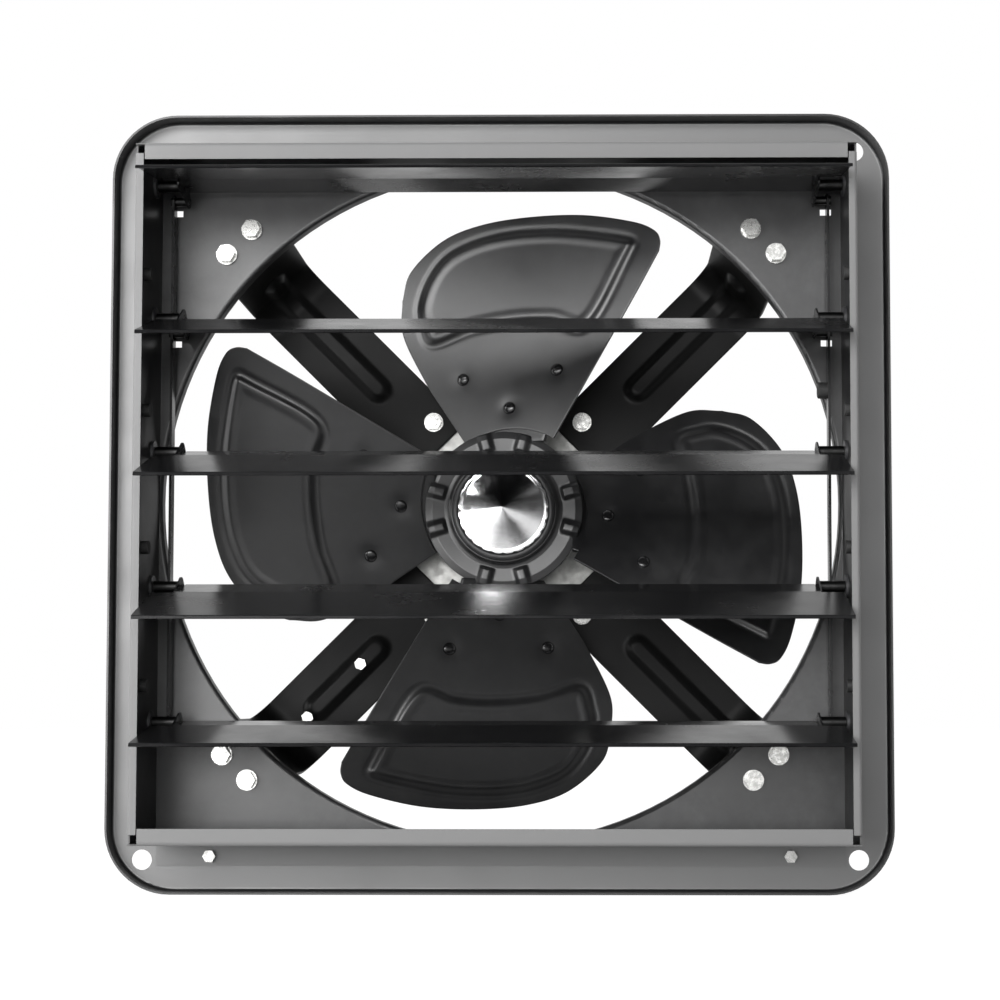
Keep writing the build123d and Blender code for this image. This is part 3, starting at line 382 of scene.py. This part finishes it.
def turned_about_shaft(points, angle_deg):
    """Points turned about the Y axis, by the right-hand rule."""
    a = math.radians(angle_deg)
    x, y, z = points[..., 0], points[..., 1], points[..., 2]
    return np.stack([x * math.cos(a) + z * math.sin(a), y, -x * math.sin(a) + z * math.cos(a)], -1)


print("a 3 by 4 grid has", len(grid_faces(3, 4, False)), "faces")

# %% [markdown]
# A fan blade is stamped from 1.5 mm sheet: twisted so that its root stands steeper than its tip, hollowed a
# little, and stiffened by a raised field with rounded shoulders. It could be cut out of a bent plane, but
# then its rim would be jagged. Here the outline's four sides are blended into one patch, so the rim is
# exact, and the raised field is a height that rises smoothly with the distance inside its own outline.

# %% Blade outline
wheel_r = 200.0 * MM
hub_r = 52.0 * MM
blade_mid_y = 46.0 * MM
blade_sheet, blade_edge = 1.5 * MM, 0.35 * MM
pitch_root, pitch_tip = 27.0, 18.0
camber = 7.0 * MM
root_camber = 0.3
emboss_rise = 2.5 * MM
emboss_shoulder = 3.2 * MM
groove_share, groove_away, groove_w = 0.28, 1.8 * MM, 1.6 * MM
dip_share, dip_start, dip_run = 0.22, 5.0 * MM, 4.0 * MM
dimple_depth, dimple_r = 0.9 * MM, 6.0 * MM
blade_rows, blade_columns = 110, 130
root_left, root_right = (-0.130, 0.225), (0.160, 0.225)
right_edge = (root_right, (0.285, 0.440), (0.410, 0.655), (0.4925, 0.8025))
left_edge = (root_left, (-0.195, 0.325), (-0.268, 0.440), (-0.345, 0.600), (-0.3475, 0.715))
outer_edge = ((-0.3475, 0.715), (-0.318, 0.810), (-0.210, 0.905), (-0.080, 0.948), (0.080, 0.960),
              (0.255, 0.948), (0.410, 0.908), (0.478, 0.872), (0.496, 0.838), (0.4925, 0.8025))
emboss_outline = ((0.415, 0.830), (0.275, 0.585), (0.150, 0.606), (0.030, 0.613), (-0.110, 0.600),
                  (-0.245, 0.565), (-0.282, 0.640), (-0.285, 0.705), (-0.250, 0.790), (-0.190, 0.855),
                  (-0.090, 0.895), (0.030, 0.910), (0.170, 0.903), (0.290, 0.880), (0.400, 0.850))


def smooth_curve(corners, count):
    """Points along a Catmull-Rom curve through the corners, evenly spread by length."""
    p = np.array(corners, float)
    padded = np.vstack([2 * p[0] - p[1], p, 2 * p[-1] - p[-2]])
    t = np.linspace(0, 1, 40)[:, None]
    spans = [0.5 * (2 * b + (c - a) * t + (2 * a - 5 * b + 4 * c - d) * t ** 2
                    + (3 * b - a - 3 * c + d) * t ** 3)
             for a, b, c, d in zip(padded[:-3], padded[1:-2], padded[2:-1], padded[3:])]
    dense = np.vstack(spans)
    length = np.concatenate([[0], np.cumsum(np.hypot(*np.diff(dense, axis=0).T))])
    wanted = np.linspace(0, length[-1], count)
    return np.stack([np.interp(wanted, length, dense[:, k]) for k in (0, 1)], -1)


def patch_between(bottom, top, left, right):
    """Four edges blended into a patch: the two ruled surfaces added, less the one through the corners."""
    s = np.linspace(0, 1, len(bottom))[None, :, None]
    t = np.linspace(0, 1, len(left))[:, None, None]
    ruled_up = (1 - t) * bottom[None] + t * top[None]
    ruled_across = (1 - s) * left[:, None] + s * right[:, None]
    corners = ((1 - s) * (1 - t) * bottom[0] + s * (1 - t) * bottom[-1]
               + (1 - s) * t * top[0] + s * t * top[-1])
    return ruled_up + ruled_across - corners


root_angles = np.linspace(math.atan2(*root_left), math.atan2(*root_right), blade_columns)
root_edge = np.stack([np.sin(root_angles), np.cos(root_angles)], -1) * hub_r / wheel_r
blade_flat = patch_between(root_edge, smooth_curve(outer_edge, blade_columns),
                           smooth_curve(left_edge, blade_rows),
                           smooth_curve(right_edge, blade_rows)) * wheel_r
print("blade spans", round(float(np.ptp(blade_flat[..., 0])) / MM), "mm by",
      round(float(np.ptp(blade_flat[..., 1])) / MM), "mm")

# %% [markdown]
# The stamping tool gives the raised field a rounded shoulder, a faint groove just outside it and a slight dip
# in its middle. A displacement texture could lift it, but the distance from each point to the field's
# outline gives all three at once: each is a smooth function of that distance. The surface is then the front
# face of the sheet, and a Solidify modifier adds the sheet behind it.

# %% Blade height and sheet


def distance_inside(points, outline):
    """Distance from each point to a closed outline, positive inside: the least distance to its sides."""
    a = np.array(outline)
    b = np.roll(a, -1, axis=0)
    x, y = points[..., 0, None], points[..., 1, None]
    side = b - a
    along = np.clip(((x - a[:, 0]) * side[:, 0] + (y - a[:, 1]) * side[:, 1]) / (side ** 2).sum(1), 0, 1)
    gap = np.hypot(x - a[:, 0] - along * side[:, 0], y - a[:, 1] - along * side[:, 1]).min(-1)
    crossing = ((a[:, 1] > y) != (b[:, 1] > y)) & (
        x < a[:, 0] + (y - a[:, 1]) / np.where(side[:, 1] == 0, 1e-9, side[:, 1]) * side[:, 0])
    return np.where(crossing.sum(-1) % 2 == 1, gap, -gap)


def eased(value):
    """0 below 0, 1 above 1, and between them the smooth S of 3 v^2 - 2 v^3."""
    v = np.clip(value, 0, 1)
    return v * v * (3 - 2 * v)


def blade_depth(x, z):
    """Depth of the blade's front face: its middle's depth, less x times the tangent of the pitch at that
    reach, plus a hollow that is greatest on the middle line and falls with the square of x."""
    reach = (z - hub_r / 2) / (wheel_r - hub_r / 2)
    pitch = np.radians(pitch_root + (pitch_tip - pitch_root) * reach)
    hollow = camber * (root_camber + reach * (1 - root_camber)) * (1 - (2 * x / wheel_r) ** 2)
    return blade_mid_y - x * np.tan(pitch) + hollow


field_outline = smooth_curve(emboss_outline + emboss_outline[:1], 150)[:-1] * wheel_r
inside = distance_inside(blade_flat, field_outline)
field = eased(inside / emboss_shoulder)
groove = groove_share * np.exp(-((inside + groove_away) / groove_w) ** 2)
plateau_dip = dip_share * eased((inside - dip_start) / dip_run)
x_flat, z_flat = blade_flat[..., 0], blade_flat[..., 1]
rivet_places = np.array([(-0.140, 0.440), (0.170, 0.4475), (0.015, 0.335)]) * wheel_r
rivet_gap = np.min([np.hypot(x_flat - x, z_flat - z) for x, z in rivet_places], axis=0)
dimple = dimple_depth * np.exp(-(rivet_gap / dimple_r) ** 2)
blade_y = blade_depth(x_flat, z_flat) - emboss_rise * (field - groove - plateau_dip) + dimple
blade_points = np.stack([x_flat, blade_y, z_flat], -1)


def give_sheet(piece, thickness, bevel):
    """Gives a surface its sheet thickness behind it, and a small round on its cut edges."""
    wall = piece.modifiers.new("sheet", "SOLIDIFY")
    wall.thickness = thickness
    wall.offset = -1.0
    wall.use_even_offset = True
    edge = piece.modifiers.new("cut_edge", "BEVEL")
    edge.width = bevel
    edge.segments = 2
    edge.limit_method = "ANGLE"
    edge.angle_limit = math.radians(50)


for number in range(4):
    blade_grid = turned_about_shaft(blade_points, 90 * number)
    blade = new_piece("fan_blade_" + str(number + 1), [(blade_grid, False)], blade_enamel,
                      "fan", ["blade_" + str(number + 1)])
    give_sheet(blade, blade_sheet, blade_edge)
print("blade depth from", round(float(blade_y.min()) / MM, 1), "to", round(float(blade_y.max()) / MM, 1),
      "mm")

# %% [markdown]
# Three rivets hold each blade to the hub's spider. Their heads are set with a round snap, so they are low
# domes, seated on the dimpled sheet. Flattened spheres would be simpler, but here each dome is a quarter
# ellipse carried round its own middle and added to the blade's own slope, so that it sits evenly on it.

# %% Rivets
rivet_r, rivet_rise = 4.4 * MM, 2.6 * MM
rivet_seat, rivet_tuck = 0.7 * MM, 1.2 * MM
rivet_rows, rivet_columns = 9, 28


def dome(x, z):
    """A low dome on the blade: height falls from rivet_rise as a quarter ellipse, and tucks in at the rim."""
    share = np.linspace(0.02, 1, rivet_rows)[:, None]
    angle = np.linspace(0, 2 * np.pi, rivet_columns, endpoint=False)[None, :]
    px, pz = x + rivet_r * share * np.sin(angle), z + rivet_r * share * np.cos(angle)
    height = rivet_rise * np.sqrt(1 - share ** 2 * 0.999) - rivet_tuck * share ** 8
    return np.stack([px, blade_depth(px, pz) + rivet_seat - height, pz], -1)


rivet_enamel = sprayed_enamel("enamel_on_rivet_heads", "#0e0e0f", "#303030", (0.18, 0.26), 0.2, 0.05)
heads = [turned_about_shaft(dome(x, z), 90 * number) for number in range(4) for x, z in rivet_places]
new_piece("rivet_heads", [(head, True) for head in heads], rivet_enamel, "fan", ["blade_rivets"])
print(len(heads), "rivet heads")

# %% [markdown]
# The cap in the middle is spun from thin sheet and chromed. Its cone was turned against a tool, which leaves
# fine rings, and those rings draw light out into bright rays. The rings are too fine to model, so they are a
# bump by the distance from the shaft, and the shader stretches its highlights along them.

# %% Spun chrome
spin_ring_mm, spin_ring_rise_mm, cloud_mm = 0.35, 0.002, 6.0


def spun_chrome(name):
    """Chrome with turned rings: a sine of the distance from the shaft as bump, and stretched highlights."""
    material, place = new_material(name)
    split = add_node(material, "ShaderNodeSeparateXYZ", links={0: place})
    flat = add_node(material, "ShaderNodeCombineXYZ", links={axis: split.outputs[axis] for axis in "XZ"})
    radius = add_node(material, "ShaderNodeVectorMath", {"operation": "LENGTH"}, {0: flat.outputs[0]})
    turns = 2 * math.pi / (spin_ring_mm * MM)
    phase = add_node(material, "ShaderNodeMath", {"operation": "MULTIPLY", 1: turns},
                     {0: radius.outputs["Value"]})
    ring = add_node(material, "ShaderNodeMath", {"operation": "SINE"}, {0: phase.outputs[0]})
    bump = add_node(material, "ShaderNodeBump", {"Distance": spin_ring_rise_mm * MM},
                    {"Height": ring.outputs[0]})
    tangent = add_node(material, "ShaderNodeTangent", {"direction_type": "RADIAL", "axis": "Y"})
    cloud = add_node(material, "ShaderNodeTexNoise", {"Scale": 1 / (cloud_mm * MM), "Detail": 2.0},
                     {"Vector": place})
    sheen = add_node(material, "ShaderNodeMapRange", {**noise_span, "To Min": 0.1, "To Max": 0.18},
                     {"Value": cloud.outputs["Fac"]})
    shader = add_node(material, "ShaderNodeBsdfPrincipled",
                      {"Base Color": linear("#dededf"), "Metallic": 1.0, "Anisotropic": 0.6},
                      {"Roughness": sheen.outputs["Result"], "Normal": bump.outputs[0],
                       "Tangent": tangent.outputs[0]})
    add_node(material, "ShaderNodeOutputMaterial", links={"Surface": shader.outputs[0]})
    print("chrome", name, "with", len(material.node_tree.nodes), "nodes")
    return material


chrome = spun_chrome("spun_and_chromed_sheet")
hub_front = 41.5 * MM
ring_depth = 6.0 * MM
cone_r, flange_r, cone_rise, cap_sheet = 26.0 * MM, 29.0 * MM, 11.0 * MM, 1.0 * MM
notch_count, notch_depth, notch_start = 24, 0.7 * MM, cone_r + 1.2 * MM
pole_r = 0.02 * MM
seat_y = hub_front - ring_depth
face_y = seat_y - cap_sheet


def revolved(profile, count=160, ripple=None):
    """A profile of (radius, depth) pairs carried round the shaft. ripple(angle, radius) adds to radius."""
    angle = np.linspace(0, 2 * np.pi, count, endpoint=False)[None, :]
    radius = np.array(profile)[:, 0][:, None] + 0 * angle
    depth = np.array(profile)[:, 1][:, None] + 0 * angle
    if ripple:
        radius = radius + ripple(angle, radius)
    return np.stack([radius * np.sin(angle), depth, radius * np.cos(angle)], -1)


def rim_notches(angle, radius):
    """Scallops in the rim only: less notch_depth times the square of cos(notch_count x angle), where that
    cosine is positive."""
    on_rim = radius > notch_start
    return -np.where(on_rim, notch_depth * np.clip(np.cos(notch_count * angle), 0, 1) ** 2, 0)


cap_profile = [(pole_r, face_y - cone_rise), (1.0 * MM, face_y - 0.965 * cone_rise),
               (0.5 * cone_r, face_y - 0.5 * cone_rise), (0.97 * cone_r, face_y - 0.02 * cone_rise),
               (cone_r, face_y), (cone_r + 1.0 * MM, face_y), (flange_r - 0.3 * MM, face_y),
               (flange_r, seat_y - 0.7 * cap_sheet), (flange_r, seat_y), (cone_r - cap_sheet, seat_y),
               (pole_r, seat_y - cone_rise)]
new_piece("spun_cap", [(revolved(cap_profile, 192, rim_notches), True)], chrome, "fan",
          ["spinner_cap"])
print("cap is", round(2 * flange_r / MM), "mm across")

# %% [markdown]
# The hub is pressed too: a dish round the cap, with a rolled ring in it, and four flat arms that reach out
# behind the blades. Two short ribs run out beside each arm's middle line and keep the dish from flexing. They
# could be pieces laid on the dish, but pressed ribs run into it without a seam. A turned profile gives the
# dish, and a smooth step of the distance from each rib's middle line raises its ribs.

# %% Hub dish and spider arms
dish_face = np.array([(24.0, 41.5), (30.0, 41.5), (33.0, 38.0), (35.5, 40.5), (38.0, 41.2), (46.0, 40.6),
                      (50.5, 42.0)]) * MM
dish_back = np.array([(50.5, 45.0), (50.0, 50.5), (17.0, 50.5), (17.0, 70.0)]) * MM
dish_r = dish_face[-1, 0]
seat_r, seat_rows = (24, 36), 14
field_r, field_rows, dish_columns = (36.6, 50.5), 40, 288
rib_angle, rib_half_w, rib_rise = 15.5, 3.6 * MM, 2.8 * MM
rib_start, rib_run, rib_end_run, rib_overrun = 37.5 * MM, 3.0 * MM, 2.5 * MM, 1.5 * MM
spider_sheet, spider_start, spider_reach = 3.0 * MM, 44.0 * MM, 101.0 * MM
spider_root_half_w, spider_half_w = hub_r / 4, 42.0 * MM
sheet_edge = 0.4 * MM


def ribbed_dish():
    """The turned profile, raised by rib_rise along each rib. Aside of a rib's middle the rise is whole up to
    half of rib_half_w, and it is gone at one and a half of it."""
    face_r = np.concatenate([np.linspace(*seat_r, seat_rows), np.linspace(*field_r, field_rows)]) * MM
    radius = np.concatenate([face_r, dish_back[:, 0]])[:, None]
    depth = np.concatenate([np.interp(face_r, *dish_face.T), dish_back[:, 1]])[:, None]
    angle = np.linspace(0, 2 * np.pi, dish_columns, endpoint=False)[None, :]
    between = eased((radius - rib_start) / rib_run) * eased((dish_r + rib_overrun - radius) / rib_end_run)
    between[-len(dish_back):] = 0
    from_arm = np.abs((angle + np.pi / 4) % (np.pi / 2) - np.pi / 4)
    aside = np.abs(from_arm - math.radians(rib_angle)) * radius
    rib = eased(1.5 - aside / rib_half_w)
    r, y = radius + 0 * angle, depth - rib_rise * between * rib
    return np.stack([r * np.sin(angle), y, r * np.cos(angle)], -1)


def spider_arm():
    """A strap just behind the blade's sheet: its width grows with the distance from the shaft."""
    along = np.linspace(spider_start, spider_reach, 24)[:, None]
    across = np.linspace(-1, 1, 25)[None, :]
    half = spider_root_half_w + (spider_half_w - spider_root_half_w) * along / spider_reach
    x, z = across * half, along + 0 * across
    return np.stack([x, blade_depth(x, z) + blade_sheet, z], -1)


new_piece("hub_dish", [(ribbed_dish(), True)], blade_enamel, "fan", ["hub_spider"])
for number in range(4):
    spider_grid = turned_about_shaft(spider_arm(), 90 * number)
    spider = new_piece("spider_arm_" + str(number + 1), [(spider_grid, False)], blade_enamel,
                       "fan", ["hub_spider"])
    give_sheet(spider, spider_sheet, sheet_edge)
ring_profile = np.array([(28.2, 41.4), (28.4, 36.6), (29.6, 35.6), (31.6, 35.8), (33.2, 37.4),
                         (34.0, 41.4)]) * MM
ring = new_piece("rolled_ring", [(revolved(ring_profile), True)], black_moulding, "fan",
                 ["cap_ring"])
curve = ring.modifiers.new("rounded", "SUBSURF")
curve.levels = curve.render_levels = 1
print("hub dish with ribs at", rib_angle, "degrees beside each arm")

# %% [markdown]
# Four arms carry the motor. Each is one strap of 2.5 mm sheet, bent twice: a foot behind the panel, a leg
# back past the blades, and a strap in to the motor, with a long pressed bead that keeps it from trembling.
# A tube laid on the strap would be quicker, but a pressed bead is part of the sheet. The path of the sheet is
# straight runs joined by arcs. The bead rises along the sheet's own normal, so it runs round the bend.

# %% Support arms
arm_sheet, arm_half_w = 2.5 * MM, 25.0 * MM
arm_path = np.array([(247.0, 1.25), (214.5, 1.25), (214.5, 96.0), (66.0, 96.0)]) * MM
arm_bends = (5.0 * MM, 18.0 * MM)
bead_end, bead_half_w, bead_rise = 208.0 * MM, 3.5 * MM, 4.0 * MM
bead_start = {"arm_top_right": 90.0 * MM, "arm_top_left": 90.0 * MM, "arm_bottom_left": 152.0 * MM,
              "arm_bottom_right": 90.0 * MM}
bead_shoulder = 6.0 * MM


def bent_path(corners, radii, step=2.0 * MM):
    """Straight runs joined by arcs. At a corner the arc starts radius / tan(half the angle) before it."""
    places = [corners[0]]
    for before, corner, after, radius in zip(corners, corners[1:], corners[2:], radii):
        a = (before - corner) / np.linalg.norm(before - corner)
        b = (after - corner) / np.linalg.norm(after - corner)
        half = math.acos(float(a @ b)) / 2
        middle = corner + (a + b) / np.linalg.norm(a + b) * radius / math.sin(half)
        start, end = corner + a * radius / math.tan(half), corner + b * radius / math.tan(half)
        share = np.linspace(0, 1, 12)[:, None]
        chord = (start - middle) * (1 - share) + (end - middle) * share
        places += list(middle + radius * chord / np.linalg.norm(chord, axis=1)[:, None])
    places.append(corners[-1])
    runs = [np.linspace(a, b, max(2, int(np.linalg.norm(b - a) / step) + 1))[:-1]
            for a, b in zip(places[:-1], places[1:])]
    return np.vstack(runs + [corners[-1:]])


def arm_surface(start):
    """The path swept across the arm's width, with the bead raised along the path's normal. Its rise is whole
    up to bead_half_w from its middle line, and falls to 0 over bead_shoulder beyond that."""
    path = bent_path(arm_path, arm_bends)
    slope = np.gradient(path, axis=0)
    normal = np.stack([slope[:, 1], -slope[:, 0]], -1) / np.linalg.norm(slope, axis=1)[:, None]
    along = np.concatenate([[0], np.cumsum(np.linalg.norm(np.diff(path, axis=0), axis=1))])[:, None]
    across = np.linspace(-arm_half_w, arm_half_w, 51)[None, :]
    beyond = np.maximum(0, np.maximum(start - along, along - bead_end))
    rise = bead_rise * eased(1 - (np.hypot(beyond, across) - bead_half_w) / bead_shoulder)
    r = path[:, :1] - normal[:, :1] * rise
    y = path[:, 1:] - normal[:, 1:] * rise
    return np.stack([r, y, across + 0 * r], -1)


for number, (name, start) in enumerate(bead_start.items()):
    arm_grid = turned_about_shaft(arm_surface(start), -45 - 90 * number)
    arm = new_piece("strap_" + name, [(arm_grid, False)], arm_enamel, "frame", [name])
    give_sheet(arm, arm_sheet, sheet_edge)
print("arm path of", len(arm_grid), "rows")

# %% [markdown]
# The floor and backdrop are plain and pale. White comes from their own colour as the camera sees it, and not
# from stronger lamps, so that the black paint keeps its depth. Rays from the camera, and rays through glass,
# meet a white world. All other rays meet a dim room in front of the fan and a white backdrop behind it,
# because the louvers mirror that backdrop. Soft boxes stand in front, and the brightest is left of the
# middle, as the flange's fall from light to dark shows.

# %% World, floor and lamps


def seen_directly(owner):
    """1 for rays from the camera or through glass, and 0 for the rest."""
    rays = add_node(owner, "ShaderNodeLightPath").outputs
    return add_node(owner, "ShaderNodeMath", {"operation": "MAXIMUM"},
                    {0: rays["Is Camera Ray"], 1: rays["Is Transmission Ray"]}).outputs[0]


room_light, room_edge, backdrop_edge = 0.22, -0.05, 0.4
world = bpy.data.worlds.new("studio")
world.use_nodes = True
world.node_tree.nodes.clear()
scene.world = world
way = add_node(world, "ShaderNodeTexCoord").outputs["Generated"]
way = add_node(world, "ShaderNodeSeparateXYZ", links={0: way})
backdrop = add_node(world, "ShaderNodeMapRange",
                    {"From Min": room_edge, "From Max": backdrop_edge, "To Min": room_light, "To Max": 1.0},
                    {"Value": way.outputs["Y"]})
strength = add_node(world, "ShaderNodeMath", {"operation": "MAXIMUM"},
                    {0: seen_directly(world), 1: backdrop.outputs["Result"]})
sky = add_node(world, "ShaderNodeBackground", {"Color": linear("#ffffff")}, {"Strength": strength.outputs[0]})
add_node(world, "ShaderNodeOutputWorld", links={"Surface": sky.outputs[0]})

floor_gap, floor_half, floor_glow, glow_share = 0.2 * MM, 6.0, 1.14, 0.82
floor_z = cad_low.z - floor_gap
floor_material = new_material("pale_floor_paint")[0]
matt = add_node(floor_material, "ShaderNodeBsdfDiffuse", {"Color": linear("#f4f4f4")})
glow = add_node(floor_material, "ShaderNodeEmission", {"Color": linear("#ffffff"), "Strength": floor_glow})
share = add_node(floor_material, "ShaderNodeMath", {"operation": "MULTIPLY", 1: glow_share},
                 {0: seen_directly(floor_material)})
mixed = add_node(floor_material, "ShaderNodeMixShader", links={0: share.outputs[0], 1: matt.outputs[0],
                                                              2: glow.outputs[0]})
add_node(floor_material, "ShaderNodeOutputMaterial", links={"Surface": mixed.outputs[0]})
floor_mesh = bpy.data.meshes.new("floor")
floor_mesh.from_pydata([(x, y, floor_z) for x, y in ((-floor_half, -floor_half), (floor_half, -floor_half),
                                                     (floor_half, floor_half), (-floor_half, floor_half))],
                       [], [(0, 1, 2, 3)])
floor_mesh.materials.append(floor_material)
floor = bpy.data.objects.new("floor", floor_mesh)
scene.collection.objects.link(floor)


def soft_box(name, start, end, heights, radiance):
    """An upright soft box between two places in plan. It shines to the left of that line, and its power in
    watts is pi x area x radiance."""
    run = Vector(end) - Vector(start)
    data = bpy.data.lights.new(name, "AREA")
    data.shape = "RECTANGLE"
    data.size, data.size_y = run.length, heights[1] - heights[0]
    data.energy = math.pi * data.size * data.size_y * radiance
    lamp = bpy.data.objects.new(name, data)
    scene.collection.objects.link(lamp)
    lamp.location = ((start[0] + end[0]) / 2, (start[1] + end[1]) / 2, sum(heights) / 2)
    lamp.rotation_euler = (math.radians(90), 0, math.atan2(run.y, run.x))
    print(name, "of", round(data.energy), "W")


away = -2.1
tall, short = (-0.75, 1.3), (-0.75, 0.75)
soft_box("rim_soft_box", (-3.6, -0.2), (-3.6, -2.0), tall, 8.0)
soft_box("side_soft_box", (-3.6, away), (-2.0, away), tall, 5.0)
soft_box("left_soft_box", (-2.0, away), (-0.4, away), tall, 14.0)
soft_box("middle_soft_box", (-0.4, away), (0.2, away), short, 8.5)
soft_box("right_soft_box", (0.2, away), (0.6, away), tall, 3.0)
scene.view_settings.view_transform = "Standard"
print("floor at", round(floor_z / MM, 1), "mm")
